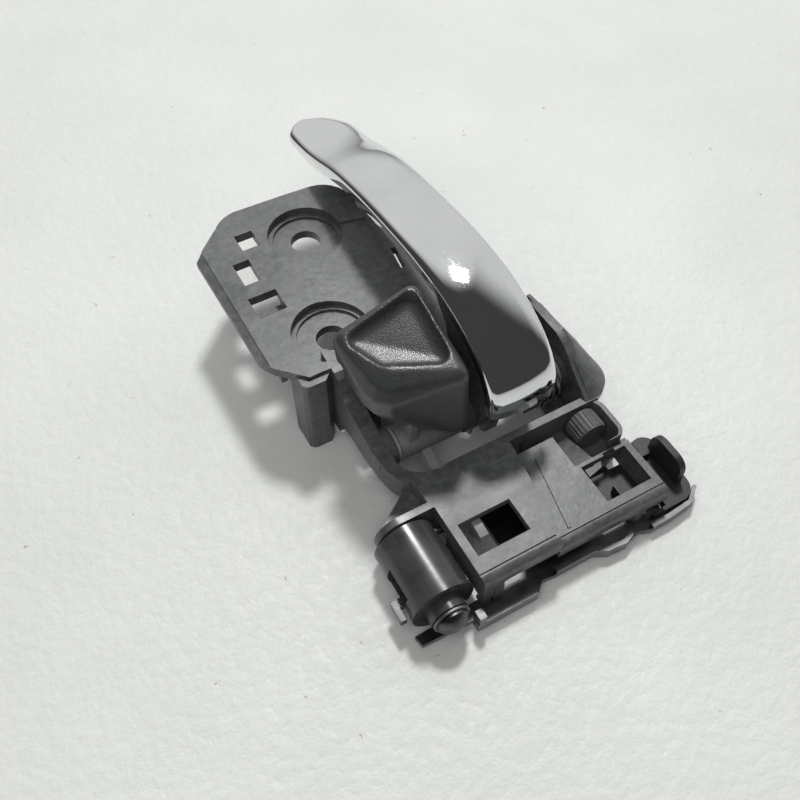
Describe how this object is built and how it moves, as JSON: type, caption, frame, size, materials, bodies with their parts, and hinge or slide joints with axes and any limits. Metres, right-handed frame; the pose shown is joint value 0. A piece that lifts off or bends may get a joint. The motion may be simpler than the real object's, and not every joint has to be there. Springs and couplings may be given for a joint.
{
  "type": "inside door handle",
  "caption": "Inside car door handle: chrome pull lever and black lock knob hinged on one pin in a moulded housing with a screw plate, cable block and crank barrel.",
  "frame": {"origin": "on the axis of the first screw hole, in the plane of the seat that the screw head clamps", "axes": "+X along the pivot pin, +Y along the lever from the cable block to the screw plate, +Z out of the door towards the hand"},
  "size_m": [0.084, 0.1437, 0.0481],
  "materials": {
    "housing_black": "satin glass-filled nylon, slightly mottled from moulding",
    "knob_black": "fine-grained moulded plastic",
    "gloss_black": "smooth semi-gloss acetal",
    "lever_chrome": "bright decorative chrome with light use scratches",
    "backing_grey": "as-moulded dark grey plastic",
    "zinc_steel": "zinc-plated stamped sheet, faintly streaked",
    "plain_steel": "drawn steel, lightly oiled",
    "bush_plastic": "natural acetal",
    "stop_rubber": "ribbed moulded rubber"
  },
  "bodies": {
    "root": {"base_housing": "housing_black", "steel_bracket": "zinc_steel", "bracket_rivets": "plain_steel", "cable_cover": "gloss_black", "pivot_pin": "plain_steel", "pivot_clip": "plain_steel", "pivot_bushes": "bush_plastic", "lever_return_spring": "plain_steel", "lock_detent_spring": "plain_steel", "rubber_stop": "stop_rubber", "stop_post": "plain_steel", "crank_pin": "plain_steel", "crank_washer": "zinc_steel"},
    "lever": {"lever_shell": "lever_chrome", "lever_backing": "backing_grey", "lever_hub": "housing_black", "lever_screws": "plain_steel", "lever_cable_pin": "plain_steel", "lever_stop_pad": "stop_rubber"},
    "lock_knob": {"lock_knob_cap": "knob_black", "lock_knob_arm": "gloss_black", "knob_clip_pin": "plain_steel"},
    "lock_crank": {"crank_barrel": "gloss_black", "crank_rod": "plain_steel", "crank_side_arm": "plain_steel", "crank_spring": "plain_steel"}
  },
  "joints": [
    {"name": "lever_pull", "type": "hinge", "parent": "root", "child": "lever", "pos_m": [0.02, -0.062, -0.011], "axis": [1, 0, 0], "range_deg": [0, 35], "stiffness_Nm_per_rad": 0.5, "springref_deg": -17.19},
    {"name": "lock_toggle", "type": "hinge", "parent": "root", "child": "lock_knob", "pos_m": [0, -0.062, -0.011], "axis": [1, 0, 0], "range_deg": [0, 13]},
    {"name": "lock_crank_turn", "type": "hinge", "parent": "root", "child": "lock_crank", "pos_m": [-0.017, -0.093, -0.016], "axis": [0, 1, 0], "range_deg": [0, 18.46]}
  ],
  "couplings": [
    {"joint": "lock_crank_turn", "follows": "lock_toggle", "ratio": 1.42}
  ]
}
